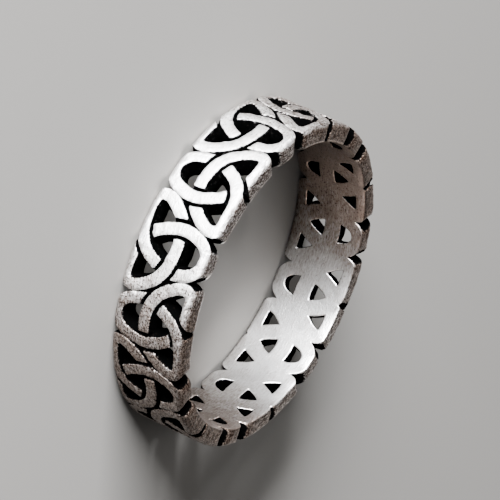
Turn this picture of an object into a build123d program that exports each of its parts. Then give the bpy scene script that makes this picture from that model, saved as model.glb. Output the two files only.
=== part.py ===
"""A pierced silver band ring: interlaced trinity knots side by side, every second one upside down.

The ring is one casting. It lies on one rim, with the finger's axis along +Z and the middle of a knot on
the X axis. Each knot is three crossing strands. They are left standing where the four holes of the knot
go through the wall, the notches open the rims, and shallow gaps part an upper strand from the one that
dives under it.
"""

import os
from math import cos, pi, sin

from build123d import *

# Driving dimensions, in millimetres
finger_diameter = 18.5  # the bore that a finger goes through
wall = 1.2  # from the bore out to the tops of the strands
band_width = 5.0  # from rim to rim
knot_pairs = 7  # an upright knot and a turned one, this many times round the band
shoulder_radius = 0.35  # the worn outer edge of both rims
bore_edge_radius = 0.15  # the eased edge where the finger goes in
relief_depth = 0.42  # how deep the gaps and grooves go in from the strands' tops
gap_width = 0.25  # beside an upper strand, where the lower one dives
groove_width = 0.18  # between two knots

# Shares of a hole's or notch's outer size that are left of it at the bore
hole_taper = 0.62
notch_taper = 0.8

# What follows from them
bore_radius = finger_diameter / 2
outer_radius = bore_radius + wall
knot_count = 2 * knot_pairs
knot_pitch = 2 * pi * outer_radius / knot_count
pitch_angle = 360 / knot_count
overcut = wall / 4  # how far a cutter runs past the metal

# The upright knot, seen from outside. A point is (across from the knot's middle as a share of the pitch,
# up from its base rim as a share of the band's width).

# Holes: a row is corner, bow, corner, bow, corner, bow. A side runs through its bow to the next corner.
holes = {
    "crown": [(0.20, 0.66), (0.135, 0.80), (0.0, 0.88), (-0.14, 0.79), (-0.20, 0.63), (-0.02, 0.645)],
    "middle": [(0.17, 0.445), (0.02, 0.49), (-0.13, 0.465), (-0.11, 0.355), (-0.045, 0.235), (0.095, 0.325)],
    "right": [(0.53, 0.125), (0.475, 0.275), (0.36, 0.385), (0.265, 0.23), (0.18, 0.11), (0.34, 0.10)],
    "left": [(-0.53, 0.13), (-0.49, 0.275), (-0.37, 0.405), (-0.295, 0.26), (-0.19, 0.13), (-0.34, 0.105)],
}

# Gaps beside an upper strand: start, bow, end
gaps = {
    "over the arch": [(0.19, 0.645), (0.29, 0.635), (0.40, 0.59)],
    "under the arch": [(0.15, 0.46), (0.255, 0.43), (0.36, 0.37)],
    "inside the left strand": [(-0.18, 0.64), (-0.175, 0.54), (-0.12, 0.45)],
    "outside the left strand": [(-0.40, 0.60), (-0.385, 0.49), (-0.35, 0.385)],
    "over the right strand": [(-0.03, 0.25), (-0.10, 0.17), (-0.21, 0.115)],
    "under the right strand": [(0.22, 0.13), (0.13, 0.06), (0.0, 0.0)],
}

# The upper half of the groove between two knots, from its middle: across is from that boundary here
groove_half = [(-0.20, 0.93), (-0.15, 0.70), (0.0, 0.50)]

# Notches through the rims: as a hole's row, with the outer corners past the rim
crown_notch = [(0.302, 0.84), (0.33, 0.955), (0.46, 1.05), (0.20, 1.12), (-0.04, 1.05), (0.20, 0.962)]
base_notch = [(0.04, 0.055), (0.05, -0.02), (0.08, -0.10), (-0.02, -0.14), (-0.12, -0.10), (-0.05, 0.0)]


def outward_plane(radius, across):
    """Plane that faces straight out of the band at a distance round it, with its X along the band."""
    angle = across / outer_radius
    outward = Vector(cos(angle), sin(angle), 0)
    return Plane(origin=outward * radius, x_dir=Vector(-sin(angle), cos(angle), 0), z_dir=outward)


def in_millimetres(outline):
    """Shares of the pitch and the width, as distances across and up."""
    return [(across * knot_pitch, up * band_width) for across, up in outline]


def through_cutter(outline, taper):
    """A cutter through the whole wall, at its full size on the outside and tapered towards the bore."""
    points = in_millimetres(outline)
    corners = points[::2]
    middle = (sum(x for x, y in corners) / len(corners), sum(y for x, y in corners) / len(corners))
    with BuildPart() as cutter:
        for radius in (outer_radius + overcut, bore_radius - overcut):
            share = 1 - (1 - taper) * (outer_radius - radius) / wall
            section = [((x - middle[0]) * share, middle[1] + (y - middle[1]) * share) for x, y in points]
            closed = section + section[:1]
            with BuildSketch(outward_plane(radius, middle[0])):
                with BuildLine():
                    for start in range(0, len(points), 2):
                        ThreePointArc(*closed[start : start + 3])
                make_face()
        loft(ruled=True)
    return cutter.part


def surface_cutter(arcs, width):
    """A cutter as wide as said along arcs on the outer surface, and as deep as the relief."""
    middle = arcs[0][-1][0]
    with BuildPart() as cutter:
        with BuildSketch(outward_plane(outer_radius - relief_depth, middle)):
            with BuildLine():
                for arc in arcs:
                    ThreePointArc(*[(x - middle, y) for x, y in arc])
            trace(line_width=width)
        extrude(amount=relief_depth + overcut)
    return cutter.part


def mirrored(outline):
    """The same outline left for right."""
    return [(-across, up) for across, up in outline]


def turned_over(cutters):
    """The cutters of the next knot: half a turn about the line straight out through the middle of this one."""
    turn_line = Axis((0, 0, band_width / 2), (1, 0, 0))
    return [cutter.rotate(turn_line, 180).rotate(Axis.Z, pitch_angle) for cutter in cutters]


def round_the_band(pair_cutters):
    """The cutters of one pair of knots, again for every pair."""
    turns = [2 * pitch_angle * pair for pair in range(knot_pairs)]
    return [cutter.rotate(Axis.Z, turn) for turn in turns for cutter in pair_cutters]


knot_holes = [through_cutter(outline, hole_taper) for outline in holes.values()]
knot_gaps = [surface_cutter([in_millimetres(gap)], gap_width) for gap in gaps.values()]
knot_notches = [
    through_cutter(outline, notch_taper) for outline in (base_notch, crown_notch, mirrored(crown_notch))
]

# The groove at the upright knot's right-hand side: its upper half, and that turned half round for the
# lower one. The groove at its left is the mirror image, and the turned knots share them.
upper_half = [(x + knot_pitch / 2, y) for x, y in in_millimetres(groove_half)]
lower_half = [(knot_pitch - x, band_width - y) for x, y in reversed(upper_half)]
pair_grooves = [
    surface_cutter([upper_half, lower_half], groove_width),
    surface_cutter([mirrored(upper_half), mirrored(lower_half)], groove_width),
]

# The band: a plain wall turned from its section, with eased edges, then cut
with BuildPart() as knot_band:
    with BuildSketch(Plane.XZ):
        with Locations(((bore_radius + outer_radius) / 2, band_width / 2)):
            Rectangle(wall, band_width)
    revolve(axis=Axis.Z)
    rims = knot_band.edges().filter_by(GeomType.CIRCLE).group_by(SortBy.RADIUS)
    fillet(rims[-1], shoulder_radius)
    fillet(rims[0], bore_edge_radius)
    for cutters in (knot_holes, knot_notches):
        add(round_the_band(cutters + turned_over(cutters)), mode=Mode.SUBTRACT)
    add(round_the_band(pair_grooves), mode=Mode.SUBTRACT)
    add(round_the_band(knot_gaps + turned_over(knot_gaps)), mode=Mode.SUBTRACT)

knot_band.part.label = "knot_band"

os.makedirs("parts", exist_ok=True)
export_step(knot_band.part, "parts/knot_band.step")
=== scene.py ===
import time
from math import pi, radians

import bmesh
import bpy
import numpy as np
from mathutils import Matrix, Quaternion, Vector
from mathutils.geometry import delaunay_2d_cdt


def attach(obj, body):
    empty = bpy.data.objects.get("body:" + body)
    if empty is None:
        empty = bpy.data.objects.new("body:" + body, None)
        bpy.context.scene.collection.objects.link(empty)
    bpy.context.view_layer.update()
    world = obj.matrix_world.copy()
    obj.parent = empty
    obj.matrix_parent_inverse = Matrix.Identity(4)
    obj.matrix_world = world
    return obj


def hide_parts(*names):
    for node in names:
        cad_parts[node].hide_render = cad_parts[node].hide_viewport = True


startTime = time.time()
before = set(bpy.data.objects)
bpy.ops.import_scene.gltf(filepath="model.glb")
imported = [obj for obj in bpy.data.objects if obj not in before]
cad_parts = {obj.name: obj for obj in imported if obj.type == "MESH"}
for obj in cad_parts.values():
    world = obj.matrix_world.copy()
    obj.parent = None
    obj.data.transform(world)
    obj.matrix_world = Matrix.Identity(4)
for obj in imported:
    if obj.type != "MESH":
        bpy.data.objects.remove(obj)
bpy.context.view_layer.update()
mm = 0.001


def report(stage):
    print(f"{time.time() - startTime:5.1f} s  {stage}")


def linearColour(hexColour):
    parts = [int(hexColour[i:i + 2], 16) / 255 for i in (1, 3, 5)]
    return [p / 12.92 if p <= 0.04045 else ((p + 0.055) / 1.055) ** 2.4 for p in parts] + [1.0]


def addNode(tree, kind, inputs=None, output=0, **settings):
    # an input is given a value or another node's output, and one output comes back
    node = tree.nodes.new(kind)
    for name, value in settings.items():
        setattr(node, name, value)
    for name, value in (inputs or {}).items():
        if isinstance(value, bpy.types.NodeSocket):
            tree.links.new(value, node.inputs[name])
        else:
            node.inputs[name].default_value = value
    return node.outputs[output]


# Everything about the band that a user would change, in mm. The knot is drawn flat and upright, as seen
# from outside: x across from its middle, y up from the base rim. Half a turn of it is the next knot.
knotBand = {
    "fingerDiameter": 18.5,
    "wall": 1.2,
    "bandWidth": 5.0,
    "knotPairs": 7,
    "strandWidth": 0.74,
    "gap": 0.25,                 # beside an upper strand, where the lower one ends
    "overReach": 0.8,            # how far along an upper strand that gap runs, each way
    # middle line of the strand, from the crown down the left side to the middle of the arch
    "halfStrand": [(0, 4.78), (-0.40, 4.72), (-0.78, 4.47), (-1.05, 4.10), (-1.24, 3.54), (-1.33, 2.94),
                   (-1.25, 2.33), (-1.02, 1.74), (-0.72, 1.21), (-0.35, 0.79), (0.15, 0.455), (0.70, 0.273),
                   (1.40, 0.182), (2.30, 0.182), (2.68, 0.334), (2.83, 0.709), (2.74, 1.134), (2.42, 1.69),
                   (1.95, 2.227), (1.38, 2.58), (0.70, 2.763), (0, 2.824)],
    # right half of the crown's outline at the rim, and the bottom of the notch beside it
    "crownEdge": [(0, 5.0), (0.45, 4.97), (0.90, 4.80), (1.20, 4.55)],
    "notchBottom": (1.42, 4.25),
    # right half of the base's outline, from the straight rim to the tip beside the next crown
    "baseEdge": [(2.40, 0), (2.70, 0.02), (3.02, 0.18), (3.20, 0.45)],
    "baseNotch": [(-0.25, 0), (0.12, 0.22), (0.30, 0)],
    # distance outside a strand's edge, and how deep the relief is there; a hole starts at the last one
    "relief": [(-0.035, -0.003), (0.0, -0.028), (0.025, -0.14), (0.08, -0.34), (0.135, -0.50), (0.215, -1.14)],
    "shoulderRun": 0.42,         # the worn outer rims: how far in from the rim they start to fall away
    "shoulderDrop": 0.52,        # and how far they fall
    "shoulderLines": [0.02, 0.07, 0.15, 0.25, 0.36],
    "boreEdge": 0.15,            # radius of the eased inner rims
    "boreEdgeLines": [0.03, 0.09, 0.15],
    "holeEase": (0.06, 0.06),    # round the holes in the bore, width and depth
    "crowned": -0.36,            # a strand's top is level from this far inside its edge
    "blackFrom": (-0.085, 0.075),  # distance outside a strand's edge where the oxide starts and is full
    "smallNotch": 0.35,          # half the width that the base's small notch takes
    "notchBlack": (0.09, 0.27),  # how far in from the rim the black is full, in that notch and in the others
    "rimLookFrom": (0.05, 0.28),  # fall of the shoulder where the rim's finish starts and is full
    "unevenness": 0.07,          # how far the casting wanders
    "unevenSize": 1.7,           # over what length
    "unevenDetail": 3.0,
    "dents": 0.15,               # how deep the dents of its surface are
    "dentSize": 0.36,
    "dentDetail": 2.0,
    "boreDents": 0.2,            # share of them that the bore has
    "seed": 3.0,
    # finish down the wall of a rim, row by row from outside: how much it is a rim's and how much the
    # bore's, and how black it is in a notch
    "wallSide": [1.0, 1.0, 1.0, 1.0, 0.9],
    "wallBore": [0.0, 0.0, 0.0, 0.1, 0.5],
    "wallBlack": [1.0, 1.0, 1.0, 1.0, 0.7],
    # the holes' edges in the bore: how dull, and how close to the edge the black starts and is full
    "holeDull": 0.9,
    "holeBlackFrom": (0.1, 0.9),
    # the line between two knots lies between these two, across, and is looked for in these steps
    "boundaryWithin": (1.15, 2.95),
    "boundaryStep": 0.004,
    "boundaryRows": 40,
    # mesh spacing
    "cellReach": 3.4,            # a knot's leaning sides stay within this of its middle
    "fieldGrid": 0.035,          # the distances to the strands are measured this close together
    "fieldMargin": 0.1,          # and this far past the cell
    "edgeSpacing": 0.085,
    "topSpacing": 0.19,
    "boreSpacing": 0.34,
    "fillClear": 0.55,           # share of its spacing that the filling keeps clear of every line
    "clearOfEdge": 0.022,        # lines end this far from the cell's outline
    "clearOfRim": 0.015,         # and those along the rims this far
    "rimLineStep": 0.1,
    "besideRim": 0.05,           # in the bore, a line this far inside the rims' outline keeps its edge crisp
    "seamMerge": 0.002,          # points of two knots closer than this become one
}

wall = knotBand["wall"]
width = knotBand["bandWidth"]
boreRadius = knotBand["fingerDiameter"] / 2
outerRadius = boreRadius + wall
knotCount = 2 * knotBand["knotPairs"]
pitch = 2 * pi * outerRadius / knotCount


def smoothLine(points, closed=False, steps=6):
    # Catmull-Rom through the points
    points = np.array(points, float)
    count = len(points)
    if closed:
        at = lambda i: points[i % count]
    else:
        ends = np.vstack([2 * points[0] - points[1], points, 2 * points[-1] - points[-2]])
        at = lambda i: ends[i + 1]
    out = []
    for i in range(count if closed else count - 1):
        a, b, c, d = at(i - 1), at(i), at(i + 1), at(i + 2)
        for t in np.arange(steps) / steps:
            out.append(0.5 * (2 * b + (c - a) * t + (2 * a - 5 * b + 4 * c - d) * t ** 2
                              + (3 * b - 3 * c + d - a) * t ** 3))
    if not closed:
        out.append(points[-1])
    return np.array(out)


def evenly(line, spacing):
    # the same line with evenly spaced points, ends kept
    lengths = np.linalg.norm(np.diff(line, axis=0), axis=1)
    along = np.concatenate([[0], np.cumsum(lengths)])
    count = max(1, round(along[-1] / spacing))
    at = np.linspace(0, along[-1], count + 1)
    return np.column_stack([np.interp(at, along, line[:, k]) for k in (0, 1)])


def distanceTo(points, line):
    # from each point to the nearest place on an open line, some points at a time to spare memory
    atOnce = 4000
    a, b = line[:-1], line[1:]
    run = b - a
    length2 = np.maximum((run ** 2).sum(1), 1e-12)
    out = np.empty(len(points))
    for start in range(0, len(points), atOnce):
        p = points[start:start + atOnce]
        toPoint = p[:, None, :] - a[None]
        share = np.clip((toPoint * run).sum(2) / length2, 0, 1)
        away = toPoint - share[..., None] * run
        out[start:start + atOnce] = np.sqrt((away ** 2).sum(2).min(1))
    return out


def isClosed(line):
    return np.linalg.norm(line[0] - line[-1]) < 1e-6


def insidePolygon(points, polygon):
    # whether a line going right from each point crosses the polygon an odd number of times
    x, y = points[:, 0][:, None], points[:, 1][:, None]
    x0, y0 = polygon[:, 0], polygon[:, 1]
    x1, y1 = np.roll(x0, -1), np.roll(y0, -1)
    with np.errstate(divide="ignore", invalid="ignore"):
        crossX = x0 + (y - y0) * (x1 - x0) / (y1 - y0)
    hits = ((y0 > y) != (y1 > y)) & (x < crossX)
    return hits.sum(1) % 2 == 1


def strandCrossings(loop):
    # places along the loop where it crosses itself, as pairs of positions
    a, b = loop, np.roll(loop, -1, axis=0)
    run = b - a
    found = []
    count = len(loop)
    for i in range(count):
        between = a - a[i]
        cross = run[i, 0] * run[:, 1] - run[i, 1] * run[:, 0]
        with np.errstate(divide="ignore", invalid="ignore"):
            t = (between[:, 0] * run[:, 1] - between[:, 1] * run[:, 0]) / cross
            s = (between[:, 0] * run[i, 1] - between[:, 1] * run[i, 0]) / cross
        for j in np.nonzero((t >= 0) & (t < 1) & (s >= 0) & (s < 1))[0]:
            if i + 2 < j < count - (i == 0):
                found.append((i + t[j], j + s[j]))
    return found


def loopPiece(loop, start, end):
    # part of the closed loop between two positions along it
    count = len(loop)
    at = np.concatenate([[start], np.arange(np.floor(start) + 1, end), [end]])
    whole = np.vstack([loop, loop, loop[:1]])
    return np.column_stack([np.interp(at, np.arange(len(whole)), whole[:, k]) for k in (0, 1)])


def halfTurn(points, side):
    # a place in this knot's drawing, as the next knot on that side sees it
    return np.column_stack([side * pitch - points[:, 0], width - points[:, 1]])


half = knotBand["halfStrand"]
strandLoop = smoothLine(half + [(-x, y) for x, y in reversed(half[1:-1])], closed=True)
passes = sorted((p, pair) for pair in strandCrossings(strandLoop) for p in pair)
partner = {p: pair[1] if p == pair[0] else pair[0] for p, pair in passes}
order = [p for p, pair in passes]
dives = order[1::2]          # from the crown the strand first goes over, then under, and so on
loopLength = np.linalg.norm(strandLoop - np.roll(strandLoop, -1, axis=0), axis=1).sum()
reach = knotBand["overReach"] / loopLength * len(strandLoop)

# each visible length of strand runs from one dive to the next, and stops short of the strand over it
strandParts = []
for start, end in zip(dives, dives[1:] + dives[:1]):
    covers = []
    for dive in (start, end):
        middle = partner[dive]
        middle += (middle < reach) * len(strandLoop)
        covers.append(loopPiece(strandLoop, middle - reach, middle + reach))
    strandParts.append((loopPiece(strandLoop, start, end + (end < start) * len(strandLoop)), covers))
report(f"drew the strand: {len(order) // 2} crossings, {loopLength:.1f} mm long")


def ownEdge(points):
    # distance outside this knot's own strands, less than 0 inside
    halfWidth = knotBand["strandWidth"] / 2
    nearest = np.full(len(points), np.inf)
    for part, covers in strandParts:
        away = distanceTo(points, part) - halfWidth
        for cover in covers:
            away = np.maximum(away, knotBand["gap"] + halfWidth - distanceTo(points, cover))
        nearest = np.minimum(nearest, away)
    return nearest


def boundaryHalf():
    # upper half of the line between this knot and the next, midway between their strands
    line = []
    across = np.arange(*knotBand["boundaryWithin"], knotBand["boundaryStep"])
    top = knotBand["notchBottom"]
    for y in np.linspace(top[1], width / 2, knotBand["boundaryRows"]):
        row = np.column_stack([across, np.full(len(across), y)])
        lead = ownEdge(row) - ownEdge(halfTurn(row, 1))
        k = np.nonzero((lead[:-1] < 0) & (lead[1:] >= 0))[0][0]
        line.append((across[k] - lead[k] * (across[k + 1] - across[k]) / (lead[k + 1] - lead[k]), y))
    line[0], line[-1] = top, (pitch / 2, width / 2)
    return evenly(np.array(line), knotBand["edgeSpacing"])


upper = boundaryHalf()
rightSide = np.vstack([halfTurn(upper, 1)[:-1], upper[::-1]])
leftSide = np.column_stack([-rightSide[:, 0], rightSide[:, 1]])[::-1]

crown = smoothLine(knotBand["crownEdge"] + [tuple(upper[0])])
crown = np.vstack([crown[::-1][:-1], np.column_stack([-crown[:, 0], crown[:, 1]])])
cusp = smoothLine(knotBand["baseEdge"] + [tuple(rightSide[0])])
base = np.vstack([np.column_stack([-cusp[:, 0], cusp[:, 1]])[::-1], knotBand["baseNotch"], cusp])


def cornered(line, spacing):
    # evenly spaced points, with every corner kept that turns by more than about 26 degrees
    cornerCosine = 0.9
    run = np.diff(line, axis=0)
    run /= np.linalg.norm(run, axis=1)[:, None]
    sharp = [k + 1 for k in range(len(run) - 1) if run[k] @ run[k + 1] < cornerCosine]
    stops = [0] + sharp + [len(line) - 1]
    parts = [evenly(line[a:b + 1], spacing) for a, b in zip(stops, stops[1:])]
    return np.vstack([part[:-1] for part in parts] + [line[-1:]])


crownRim = cornered(crown, knotBand["edgeSpacing"])
baseRim = cornered(base, knotBand["edgeSpacing"])
outline = np.vstack([baseRim[:-1], rightSide[:-1], crownRim[:-1], leftSide[:-1]])
rimLines = [crown, base] + [halfTurn(line, side) for line in (crown, base) for side in (1, -1)]


def strandField(points):
    # distance outside the nearest edge of any strand, of this knot or the ones beside it
    return np.min([ownEdge(points), ownEdge(halfTurn(points, 1)), ownEdge(halfTurn(points, -1))], axis=0)


def rimLineDistance(points):
    return np.min([distanceTo(points, line) for line in rimLines], axis=0)


def edgeField(points):
    # the same, with the rims' outlines as edges too
    return np.maximum(strandField(points), -rimLineDistance(points))


def levelLines(field, level):
    # lines of one level through the grid's values, as chains of points
    above = field > level
    links = {}

    def edgePoint(key):
        kind, i, j = key
        a = field[i, j]
        b = field[i + 1, j] if kind == 0 else field[i, j + 1]
        t = (level - a) / (b - a)
        return (xs[i] + (xs[1] - xs[0]) * t, ys[j]) if kind == 0 else (xs[i], ys[j] + (ys[1] - ys[0]) * t)

    mixed = above[:-1, :-1].astype(int) + above[1:, :-1] + above[:-1, 1:] + above[1:, 1:]
    for i, j in zip(*np.nonzero((mixed > 0) & (mixed < 4))):
        corners = [above[i, j], above[i + 1, j], above[i + 1, j + 1], above[i, j + 1]]
        sides = [(0, i, j), (1, i + 1, j), (0, i, j + 1), (1, i, j)]
        cut = [side for k, side in enumerate(sides) if corners[k] != corners[(k + 1) % 4]]
        if len(cut) == 4 and corners[0]:
            cut = cut[1:] + cut[:1]
        for a, b in zip(cut[::2], cut[1::2]):
            links.setdefault(a, []).append(b)
            links.setdefault(b, []).append(a)
    chains = []
    while links:
        ends = [k for k, v in links.items() if len(v) == 1]
        start = ends[0] if ends else next(iter(links))
        chain = [start]
        while True:
            here = chain[-1]
            following = links.get(here)
            if not following:
                links.pop(here, None)
                break
            step = following.pop()
            if not following:
                links.pop(here)
            links[step].remove(here)
            chain.append(step)
        chains.append(np.array([edgePoint(key) for key in chain]))
    return chains


def clipToCell(chain, clear):
    # stretches of a chain that lie inside the cell and clear of its outline, without the shortest scraps
    closed = isClosed(chain)
    ring = np.vstack([outline, outline[:1]])
    keep = insidePolygon(chain, outline) & (distanceTo(chain, ring) > clear)
    if closed and keep.all():
        return [chain]
    if closed and keep.any():
        first = int(np.nonzero(~keep)[0][0])
        chain = np.vstack([chain[first:-1], chain[:first + 1]])
        keep = np.concatenate([keep[first:-1], keep[:first + 1]])
    pieces, current = [], []
    for point, good in zip(chain, keep):
        if good:
            current.append(point)
        elif current:
            pieces.append(np.array(current))
            current = []
    if current:
        pieces.append(np.array(current))
    return [piece for piece in pieces if len(piece) > 3]


margin = knotBand["fieldMargin"]
sideways = knotBand["cellReach"] + margin
xs = np.arange(-sideways, sideways + 1e-9, knotBand["fieldGrid"])
ys = np.arange(-margin, width + margin + 1e-9, knotBand["fieldGrid"])
gridX, gridY = np.meshgrid(xs, ys, indexing="ij")
gridPoints = np.column_stack([gridX.ravel(), gridY.ravel()])
gridField = edgeField(gridPoints).reshape(gridX.shape)
gridRim = rimLineDistance(gridPoints).reshape(gridX.shape)
report("measured the distance to the strands' edges")


def cellLevelLines(level, field=gridField):
    lines = []
    for chain in levelLines(field, level):
        for piece in clipToCell(chain, knotBand["clearOfEdge"]):
            lines.append(evenly(piece, knotBand["edgeSpacing"]))
    return [line for line in lines if len(line) > 2]


holeLevel = knotBand["relief"][-1][0]
holeLoops = [line for line in cellLevelLines(holeLevel) if isClosed(line) and len(line) > 6]


def lattice(spacing):
    # corners of even triangles, whose rows are 0.866 of their sides apart
    reach = knotBand["cellReach"]
    rows = np.arange(0, width, spacing * 0.866)
    across = np.arange(-reach, reach, spacing)
    return np.array([(x + (k % 2) * spacing / 2, y) for k, y in enumerate(rows) for x in across])


def triangulate(lines, spacing):
    # fills the cell, less its holes, with triangles that keep every given line as edges
    points, edges = [], []

    def addLine(line, closed):
        first = len(points)
        body = line[:-1] if closed else line
        points.extend(map(tuple, body))
        count = len(body)
        edges.extend((first + k, first + (k + 1) % count) for k in range(count if closed else count - 1))

    addLine(np.vstack([outline, outline[:1]]), True)
    for line in holeLoops:
        addLine(line, True)
    for line in lines:
        addLine(line, isClosed(line))
    fill = lattice(spacing)
    fill = fill[insidePolygon(fill, outline)]
    placed = np.array(points)
    clearOf = (knotBand["fillClear"] * spacing) ** 2
    clear = np.array([((placed - p) ** 2).sum(1).min() > clearOf for p in fill])
    inHole = np.zeros(len(fill), bool)
    for loop in holeLoops:
        inHole |= insidePolygon(fill, loop[:-1])
    points.extend(map(tuple, fill[clear & ~inHole]))
    mergeWithin = 1e-5
    verts, _, faces, _, _, _ = delaunay_2d_cdt([Vector(p) for p in points], edges, [], 0, mergeWithin)
    verts = np.array([tuple(v) for v in verts])
    faces = np.array([f for f in faces if len(f) == 3])
    centres = verts[faces].mean(1)
    keep = insidePolygon(centres, outline)
    for loop in holeLoops:
        keep &= ~insidePolygon(centres, loop[:-1])
    faces = faces[keep]
    a, b, c = verts[faces[:, 0]], verts[faces[:, 1]], verts[faces[:, 2]]
    area = (b[:, 0] - a[:, 0]) * (c[:, 1] - a[:, 1]) - (b[:, 1] - a[:, 1]) * (c[:, 0] - a[:, 0])
    faces[area < 0] = faces[area < 0][:, ::-1]
    faces = faces[np.abs(area) > 1e-9]  # none without an area
    used = np.unique(faces)
    index = np.full(len(verts), -1)
    index[used] = np.arange(len(used))
    return verts[used], index[faces]


def roundedDrop(distance, run, drop):
    # quarter of an ellipse from the flat down to the side
    return drop * (np.sqrt(1 - np.clip(1 - distance / run, 0, 1) ** 2) - 1)


def rimDistance(points):
    return np.minimum(points[:, 1], width - points[:, 1])


def closeToHole(points):
    # 1 at a hole's edge in the bore, 0 a little way off
    away = np.min([distanceTo(points, loop) for loop in holeLoops], axis=0)
    return np.clip(1 - away / knotBand["holeEase"][0], 0, 1)


def wrapRound(points, depth):
    angle = points[:, 0] / outerRadius
    radius = outerRadius + depth
    return np.column_stack([radius * np.cos(angle), radius * np.sin(angle), points[:, 1] - width / 2]) * mm


def guideLines(levels, heights):
    # where the sheets bend: at distances outside the strands, and along both rims
    lines = [line for level in levels for line in cellLevelLines(level)]
    reach, step = knotBand["cellReach"], knotBand["rimLineStep"]
    across = np.array([(x, 0) for x in np.arange(-reach, reach + step / 10, step)])
    for y in heights:
        for height in (y, width - y):
            lines += clipToCell(across + (0, height), knotBand["clearOfRim"])
    return lines


def buildCell():
    levels, depths = map(list, zip(*knotBand["relief"]))
    easeWidth, easeDepth = knotBand["holeEase"]
    boreEdge = knotBand["boreEdge"]

    # outer sheet
    lines = guideLines(levels[:-1], knotBand["shoulderLines"])
    verts, faces = triangulate(lines, knotBand["topSpacing"])
    relief = np.interp(edgeField(verts), [knotBand["crowned"]] + levels, [0.0] + depths)
    shoulder = roundedDrop(rimDistance(verts), knotBand["shoulderRun"], knotBand["shoulderDrop"])
    depth = np.maximum(relief + shoulder, depths[-1])
    recess = np.interp(strandField(verts), knotBand["blackFrom"], [0, 1])
    # the rims' dull brown finish: partly real tarnish, partly painted shade and painted brown reflection
    side = np.interp(-shoulder, knotBand["rimLookFrom"], [0, 1])
    allVerts, allFaces = [wrapRound(verts, depth)], [[tuple(f) for f in faces]]
    allRecess, allSide, allBore = [recess], [side], [np.zeros(len(verts))]
    outer = {tuple(np.round(v, 5)): pair for v, pair in zip(verts, zip(depth, recess))}  # the walls start here

    # bore
    lines = guideLines([holeLevel - easeWidth, holeLevel - 2 * easeWidth], knotBand["boreEdgeLines"])
    lines += cellLevelLines(knotBand["besideRim"], gridRim)
    boreVerts, boreFaces = triangulate(lines, knotBand["boreSpacing"])
    nearHole = closeToHole(boreVerts)
    ease = easeDepth * nearHole ** 2 - roundedDrop(rimDistance(boreVerts), boreEdge, boreEdge)
    nearRim = np.interp(rimDistance(boreVerts), [0, boreEdge], [1, 0])
    first = len(verts)
    allVerts.append(wrapRound(boreVerts, -wall + ease))
    allFaces.append([tuple(first + k for k in f[::-1]) for f in boreFaces])
    allRecess.append(np.interp(nearHole, knotBand["holeBlackFrom"], [0, 1]))
    allSide.append(knotBand["holeDull"] * np.maximum(nearRim, nearHole))
    allBore.append(np.ones(len(boreVerts)))

    # rims and notch sides, from the outer sheet's edge to the bore's
    rows = len(knotBand["wallSide"]) - 1
    for rim in (baseRim, crownRim):
        top, topRecess = np.array([outer[tuple(np.round(p, 5))] for p in rim]).T
        bottom = easeDepth * closeToHole(rim) ** 2 - wall - roundedDrop(rimDistance(rim), boreEdge, boreEdge)
        inSmallNotch = np.abs(rim[:, 0]) < knotBand["smallNotch"]
        inNotch = np.clip(rimDistance(rim) / np.where(inSmallNotch, *knotBand["notchBlack"]), 0, 1)
        first = sum(map(len, allVerts))
        for row in range(rows + 1):
            share = row / rows
            allVerts.append(wrapRound(rim, top * (1 - share) + bottom * share))
            allRecess.append(np.maximum(topRecess if row == 0 else 0, inNotch * knotBand["wallBlack"][row]))
            allSide.append(np.full(len(rim), knotBand["wallSide"][row]))
            allBore.append(np.full(len(rim), knotBand["wallBore"][row]))
        count = len(rim)
        faces = []
        for row in range(rows):
            for k in range(count - 1):
                a, b = first + row * count + k, first + row * count + k + 1
                faces.append((a, a + count, b + count, b))
        allFaces.append(faces)

    mesh = bpy.data.meshes.new("knotCell")
    mesh.from_pydata(np.vstack(allVerts).tolist(), [], [f for part in allFaces for f in part])
    for name, values in (("recess", allRecess), ("side", allSide), ("bore", allBore)):
        layer = mesh.attributes.new(name, "FLOAT", "POINT")
        layer.data.foreach_set("value", np.concatenate(values).astype(np.float32))
    cell = bpy.data.objects.new("knot_band_dressed", mesh)
    bpy.context.scene.collection.objects.link(cell)
    report(f"built one knot: {len(mesh.vertices)} points, {len(holeLoops)} holes")
    return cell
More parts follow.
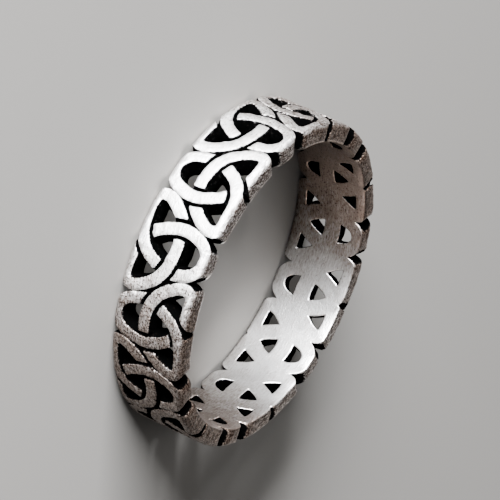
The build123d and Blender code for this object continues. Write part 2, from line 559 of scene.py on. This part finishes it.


# Sterling silver, cast, blackened all over and rubbed back. So the tops are a bright, finely pitted satin,
# the recesses hold a matt black with a ragged edge, and the rims and one side are dull and brown: on that side
# as painted shade and painted brown reflection, on the rims partly tarnish and partly painted shade and
# reflection.
silverLook = {
    "silver": "#D3D1CF",
    # a dull brown silver: worn silver, and painted shade and painted reflection
    "dulledAndShaded": "#6A5240",
    "tarnishAndShade": "#26150B",       # in the pits, and as painted shade and reflection towards one side, in the bore and on the rims
    "oxide": "#010101",
    "roughness": 0.36,          # brush marks bring the tops to about 0.44
    "oxideRoughness": 0.7,
    # noise: its size in mm, its detail and its roughness
    "noises": {
        "pits": (0.11, 4.0, 0.65),    # the real casting grain is about 0.04, drawn coarser to show
        "patches": (0.9, 5.0, 0.6),
    },
    "brushLength": 0.32,        # mm, along the band
    "brushWidth": 0.09,         # mm; really about 0.03, drawn coarser to show
    "brushNoise": (3.0, 0.6),   # its detail and roughness
    "grainDepth": 0.05,         # mm
    "shadedSide": (0.96, 0.28),   # the side of the band, across X and Y, that is painted darkest outside, as painted shade
    "farSideShade": 0.86,            # how much of that painted shade the opposite side gets; the rims and the bore get all
    "boreShade": 0.5,            # how dark the bore is painted at that side, as painted shade
    "boreShadeRange": (0.35, 0.8),
    # how far round from that side the painted shade lasts, as a dull top and as brown pits
    "shadeRanges": {"shadeDulled": (0.25, 1.0), "shadePits": (0.05, 0.8)},
    # what adds up to each finish, the range of the sum over which it comes in, and how full it gets
    "oxideFrom": {"recess": 1.35, "patches": 0.5, "pits": 1.3},
    "oxideRange": (1.32, 1.6),
    "fleckRange": (0.64, 0.74),
    "fleckBlack": 0.8,          # how much of the black a worn fleck keeps
    # dull brown from the rims, wear and brushing, and as painted shade towards one side and in the bore
    "dulledFrom": {"side": 0.42, "patches": 0.8, "brush": 1.4, "shadeDulled": 0.65, "shadeDulledInBore": 0.3},
    "dulledRange": (0.85, 1.95),
    "dulledMost": 0.85,
    # brown pits: towards the shaded side as painted shade; on the rims partly real tarnish and partly painted
    # shade and brown reflection
    "pittedTop": {"shadePits": 0.29, "bore": -0.13},
    "pittedRim": {"side": 0.38},
    "pittedFrom": {"pits": 1.5, "brush": 0.6},
    "pittedRange": (1.27, 1.47),
    "pittedMost": 0.95,
    "roughFrom": {"bore": -0.09, "brush": 0.16},
    "bumpFrom": {"pits": 1.0, "brush": 0.7},
    "bumpLess": {"bore": -0.7},
}


def addedUp(tree, patterns, weights, total=0.0):
    # every pattern times its weight, on top of the total so far
    for name, weight in weights.items():
        total = addNode(tree, "ShaderNodeMath", {0: patterns[name], 1: weight, 2: total},
                        operation="MULTIPLY_ADD")
    return total


def oxidisedSilver():
    look = silverLook
    smoothly = {"interpolation_type": "SMOOTHSTEP"}
    material = bpy.data.materials.new("oxidised_sterling_silver")
    material.use_nodes = True
    tree = material.node_tree
    tree.nodes.clear()
    place = addNode(tree, "ShaderNodeTexCoord", output="Object")
    patterns = {name: addNode(tree, "ShaderNodeAttribute", output="Fac", attribute_name=name)
                for name in ("recess", "side", "bore")}
    for name, (size, detail, roughness) in look["noises"].items():
        patterns[name] = addNode(tree, "ShaderNodeTexNoise", {"Vector": place, "Scale": 1 / (size * mm),
                                                              "Detail": detail, "Roughness": roughness}, "Fac")

    # brush marks run along the band, on its rims too: they are drawn round it, up it and out from its axis
    x, y, z = addNode(tree, "ShaderNodeSeparateXYZ", {"Vector": place}).node.outputs
    angle = addNode(tree, "ShaderNodeMath", {0: y, 1: x}, operation="ARCTAN2")
    level = addNode(tree, "ShaderNodeCombineXYZ", {"X": x, "Y": y})
    radius = addNode(tree, "ShaderNodeVectorMath", {0: level}, "Value", operation="LENGTH")
    marks = addNode(tree, "ShaderNodeCombineXYZ", {"X": angle, "Y": z, "Z": radius})
    perMark = (outerRadius / look["brushLength"], *[1 / (look["brushWidth"] * mm)] * 2)
    marks = addNode(tree, "ShaderNodeVectorMath", {0: marks, 1: perMark}, operation="MULTIPLY")
    detail, roughness = look["brushNoise"]
    patterns["brush"] = addNode(tree, "ShaderNodeTexNoise", {"Vector": marks, "Scale": 1.0, "Detail": detail,
                                                             "Roughness": roughness}, "Fac")

    # black oxide in the recesses, with a few worn flecks
    black = addedUp(tree, patterns, look["oxideFrom"])
    low, high = look["oxideRange"]
    black = addNode(tree, "ShaderNodeMapRange", {0: black, 1: low, 2: high}, **smoothly)
    low, high = look["fleckRange"]
    flecks = addNode(tree, "ShaderNodeMapRange", {0: patterns["pits"], 1: low, 2: high,
                                                  3: 1.0, 4: look["fleckBlack"]}, **smoothly)
    black = addNode(tree, "ShaderNodeMath", {0: black, 1: flecks}, operation="MULTIPLY")

    # painted shade: darker towards one side, a little less towards the opposite one, rims and bore as dark at
    # both
    towards = [share / (outerRadius * mm) for share in look["shadedSide"]]
    towardsShade = addNode(tree, "ShaderNodeVectorMath", {0: place, 1: (*towards, 0)}, "Value",
                       operation="DOT_PRODUCT")
    shadeBothSides = addNode(tree, "ShaderNodeMath", {0: towardsShade}, operation="ABSOLUTE")
    shadeShare = look["farSideShade"]
    for name in ("side", "bore"):
        shadeShare = addNode(tree, "ShaderNodeMath", {0: patterns[name], 1: shadeShare}, operation="MAXIMUM")
    shadeBothSides = addNode(tree, "ShaderNodeMath", {0: shadeBothSides, 1: shadeShare}, operation="MULTIPLY")
    # painted shade in the bore, darker towards that side, drawn as brown pits
    low, high = look["boreShadeRange"]
    boreShadeMask = addNode(tree, "ShaderNodeMapRange", {0: towardsShade, 1: low, 2: high, 4: look["boreShade"]}, **smoothly)
    boreShadeMask = addNode(tree, "ShaderNodeMath", {0: boreShadeMask, 1: patterns["bore"]}, operation="MULTIPLY")
    towardsShade = addNode(tree, "ShaderNodeMath", {0: towardsShade, 1: shadeBothSides}, operation="MAXIMUM")
    # the painted shade shows as a dull top and as brown pits
    for name, (low, high) in look["shadeRanges"].items():
        patterns[name] = addNode(tree, "ShaderNodeMapRange", {0: towardsShade, 1: low, 2: high}, **smoothly)
    patterns["shadeDulledInBore"] = addNode(tree, "ShaderNodeMath", {0: patterns["shadeDulled"], 1: patterns["bore"]},
                                     operation="MULTIPLY")

    # dull silver, and brown tarnish in its pits; both also carry the painted shade, and on the rims a painted
    # brown reflection
    low, high = look["dulledRange"]
    dullAndShade = addedUp(tree, patterns, look["dulledFrom"])
    dullAndShade = addNode(tree, "ShaderNodeMapRange", {0: dullAndShade, 1: low, 2: high, 4: look["dulledMost"]}, **smoothly)
    top, rim = [addedUp(tree, patterns, look[name]) for name in ("pittedTop", "pittedRim")]
    pitsAndShade = addNode(tree, "ShaderNodeMath", {0: top, 1: rim}, operation="MAXIMUM")
    pitsAndShade = addedUp(tree, patterns, look["pittedFrom"], pitsAndShade)
    low, high = look["pittedRange"]
    pitsAndShade = addNode(tree, "ShaderNodeMapRange", {0: pitsAndShade, 1: low, 2: high, 4: look["pittedMost"]},
                     **smoothly)
    pitsAndShade = addNode(tree, "ShaderNodeMath", {0: pitsAndShade, 1: boreShadeMask}, operation="MAXIMUM")

    colour = linearColour(look["silver"])
    for share, finish in ((dullAndShade, "dulledAndShaded"), (pitsAndShade, "tarnishAndShade"), (black, "oxide")):
        colour = addNode(tree, "ShaderNodeMix", {0: share, 6: colour, 7: linearColour(look[finish])}, 2,
                         data_type="RGBA")
    rough = addedUp(tree, patterns, look["roughFrom"], look["roughness"])
    blackRough = addNode(tree, "ShaderNodeMath", {0: black, 1: look["oxideRoughness"]}, operation="MULTIPLY")
    rough = addNode(tree, "ShaderNodeMath", {0: rough, 1: blackRough}, operation="MAXIMUM")
    metal = addNode(tree, "ShaderNodeMath", {0: 1.0, 1: black}, operation="SUBTRACT")

    grain = addedUp(tree, patterns, look["bumpFrom"])
    strength = addedUp(tree, patterns, look["bumpLess"], 1.0)
    bump = addNode(tree, "ShaderNodeBump", {"Height": grain, "Strength": strength,
                                            "Distance": look["grainDepth"] * mm})
    shader = addNode(tree, "ShaderNodeBsdfPrincipled", {
        "Base Color": colour, "Roughness": rough, "Metallic": metal, "Normal": bump, "Specular IOR Level": 0.0})
    tree.links.new(shader, tree.nodes.new("ShaderNodeOutputMaterial").inputs["Surface"])
    return material


bandInputs = {
    "Knots": knotCount,
    "Middle": width / 2 * mm,
    "Unevenness": knotBand["unevenness"] * mm,
    "Dents": knotBand["dents"] * mm,
    "Seed": knotBand["seed"],
}


def bandTree(material):
    tree = bpy.data.node_groups.new("knotsRoundTheBand", "GeometryNodeTree")
    tree.interface.new_socket("Geometry", in_out="INPUT", socket_type="NodeSocketGeometry")
    tree.interface.new_socket("Geometry", in_out="OUTPUT", socket_type="NodeSocketGeometry")
    sockets = {}
    for name, value in bandInputs.items():
        kind = "NodeSocketInt" if isinstance(value, int) else "NodeSocketFloat"
        sockets[name] = tree.interface.new_socket(name, in_out="INPUT", socket_type=kind).identifier
    given = tree.nodes.new("NodeGroupInput").outputs

    # a knot at each step round the band, every second one turned over
    height = addNode(tree, "ShaderNodeCombineXYZ", {"Z": given["Middle"]})
    points = addNode(tree, "GeometryNodePoints", {"Count": given["Knots"], "Position": height})
    index = addNode(tree, "GeometryNodeInputIndex")
    odd = addNode(tree, "ShaderNodeMath", {0: index, 1: 2}, operation="MODULO")
    over = addNode(tree, "ShaderNodeMath", {0: odd, 1: pi}, operation="MULTIPLY")
    share = addNode(tree, "ShaderNodeMath", {0: index, 1: given["Knots"]}, operation="DIVIDE")
    turn = addNode(tree, "ShaderNodeMath", {0: share, 1: 2 * pi}, operation="MULTIPLY")
    rotation = addNode(tree, "ShaderNodeCombineXYZ", {"X": over, "Z": turn})
    band = addNode(tree, "GeometryNodeInstanceOnPoints", {"Points": points, "Instance": given["Geometry"],
                                                          "Rotation": rotation})
    band = addNode(tree, "GeometryNodeRealizeInstances", {"Geometry": band})
    band = addNode(tree, "GeometryNodeMergeByDistance", {"Geometry": band,
                                                         "Distance": knotBand["seamMerge"] * mm})

    # the casting wanders a little, so no two knots are quite the same
    where = addNode(tree, "GeometryNodeInputPosition")
    wander = addNode(tree, "ShaderNodeTexNoise", {"Vector": where, "W": given["Seed"],
                                                  "Scale": 1 / (knotBand["unevenSize"] * mm),
                                                  "Detail": knotBand["unevenDetail"]},
                     "Color", noise_dimensions="4D")
    shift = addNode(tree, "ShaderNodeVectorMath", {0: wander, 1: (0.5, 0.5, 0.5)}, operation="SUBTRACT")
    shift = addNode(tree, "ShaderNodeVectorMath", {0: shift, "Scale": given["Unevenness"]}, operation="SCALE")
    band = addNode(tree, "GeometryNodeSetPosition", {"Geometry": band, "Offset": shift})

    # small dents, shallower in the bore
    dent = addNode(tree, "ShaderNodeTexNoise", {"Vector": where, "W": given["Seed"],
                                                "Scale": 1 / (knotBand["dentSize"] * mm),
                                                "Detail": knotBand["dentDetail"]},
                   "Fac", noise_dimensions="4D")
    dent = addNode(tree, "ShaderNodeMath", {0: dent, 1: 0.5}, operation="SUBTRACT")
    dent = addNode(tree, "ShaderNodeMath", {0: dent, 1: given["Dents"]}, operation="MULTIPLY")
    bore = addNode(tree, "GeometryNodeInputNamedAttribute", {"Name": "bore"}, "Attribute", data_type="FLOAT")
    share = addNode(tree, "ShaderNodeMath", {0: bore, 1: knotBand["boreDents"] - 1, 2: 1.0},
                    operation="MULTIPLY_ADD")
    dent = addNode(tree, "ShaderNodeMath", {0: dent, 1: share}, operation="MULTIPLY")
    normal = addNode(tree, "GeometryNodeInputNormal")
    shift = addNode(tree, "ShaderNodeVectorMath", {0: normal, "Scale": dent}, operation="SCALE")
    band = addNode(tree, "GeometryNodeSetPosition", {"Geometry": band, "Offset": shift})

    band = addNode(tree, "GeometryNodeSetShadeSmooth", {"Geometry": band})
    band = addNode(tree, "GeometryNodeSetMaterial", {"Geometry": band, "Material": material})
    tree.links.new(band, tree.nodes.new("NodeGroupOutput").inputs[0])
    return tree, sockets


def buildBand():
    band = buildCell()
    modifier = band.modifiers.new("knots", "NODES")
    modifier.node_group, sockets = bandTree(oxidisedSilver())
    for name, value in bandInputs.items():
        modifier[sockets[name]] = value
    graph = bpy.context.evaluated_depsgraph_get()
    mesh = bpy.data.meshes.new_from_object(band.evaluated_get(graph), preserve_all_data_layers=True,
                                           depsgraph=graph)
    band.modifiers.clear()
    band.data = mesh
    mesh.name = "knot_band_dressed"

    check = bmesh.new()
    check.from_mesh(mesh)
    openEdges = sum(not edge.is_manifold for edge in check.edges)
    volume = check.calc_volume() / mm ** 3
    report(f"built the band: {len(mesh.polygons)} faces, {openEdges} open edges, {volume:.0f} mm3")
    check.free()

    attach(band, "root")
    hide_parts("knot_band")


buildBand()

studio = {
    "floorColour": "#726F6B",   # the key light makes it pale
    "floorRoughness": 0.8,
    "floorSize": 1.6,           # m
    "floorLevel": -0.00004,     # m, just under the lowest bump of the casting
    "skyColour": "#E8EAEC",
    "skyStrength": 0.11,
    # name, place in m, width and height in m, power in W, colour
    "lights": [
        ("key_soft", (0.010, -0.385, 0.070), (0.24, 0.13), 33.0, "#F8FBFF"),
        ("overhead_soft", (-0.10, -0.05, 0.30), (0.20, 0.20), 0.25, "#FFFFFF"),
        ("back_soft", (-0.16, 0.34, 0.060), (0.24, 0.11), 0.2, "#FFF8F0"),
    ],
}


def buildFloor():
    reach = studio["floorSize"] / 2
    corners = [(x * reach, y * reach, studio["floorLevel"]) for x, y in ((-1, -1), (1, -1), (1, 1), (-1, 1))]
    mesh = bpy.data.meshes.new("floor")
    mesh.from_pydata(corners, [], [(0, 1, 2, 3)])
    floor = bpy.data.objects.new("floor", mesh)
    bpy.context.scene.collection.objects.link(floor)
    # painted board: matt, with no grain that shows beside a ring
    material = bpy.data.materials.new("matt_board")
    material.use_nodes = True
    shader = material.node_tree.nodes["Principled BSDF"]
    shader.inputs["Base Color"].default_value = linearColour(studio["floorColour"])
    shader.inputs["Roughness"].default_value = studio["floorRoughness"]
    mesh.materials.append(material)


def buildLights():
    world = bpy.data.worlds.new("pale_room")
    world.use_nodes = True
    sky = world.node_tree.nodes["Background"]
    sky.inputs["Color"].default_value = linearColour(studio["skyColour"])
    sky.inputs["Strength"].default_value = studio["skyStrength"]
    bpy.context.scene.world = world
    for name, place, size, power, colour in studio["lights"]:
        lamp = bpy.data.lights.new(name, "AREA")
        lamp.shape = "RECTANGLE"
        lamp.size, lamp.size_y = size
        lamp.energy = power
        lamp.color = linearColour(colour)[:3]
        holder = bpy.data.objects.new(name, lamp)
        holder.location = place
        holder.rotation_mode = "QUATERNION"
        holder.rotation_quaternion = (Vector((0, 0, 0)) - Vector(place)).to_track_quat("-Z", "Y")
        bpy.context.scene.collection.objects.link(holder)


# place, aim and lens from a fit to the photograph's rims, holes and notches
cameraSet = {
    "place": (0.12412, -0.17543, 0.10493),
    "aim": (-0.000957, -0.000860, 0.002204),
    "roll": 114.084,              # degrees: the photograph shows the ring standing, and here it lies
    "lens": 285.747,
    "sensor": 36,
    "clip": (0.01, 10),
}


def buildCamera():
    lens = bpy.data.cameras.new("camera")
    lens.lens = cameraSet["lens"]
    lens.sensor_width = cameraSet["sensor"]
    lens.clip_start, lens.clip_end = cameraSet["clip"]
    camera = bpy.data.objects.new("camera", lens)
    camera.location = cameraSet["place"]
    look = (Vector(cameraSet["aim"]) - Vector(cameraSet["place"])).to_track_quat("-Z", "Y")
    camera.rotation_mode = "QUATERNION"
    camera.rotation_quaternion = look @ Quaternion((0, 0, 1), radians(cameraSet["roll"]))
    bpy.context.scene.collection.objects.link(camera)
    bpy.context.scene.camera = camera


buildFloor()
buildLights()
buildCamera()
report("set the floor, lights and camera")
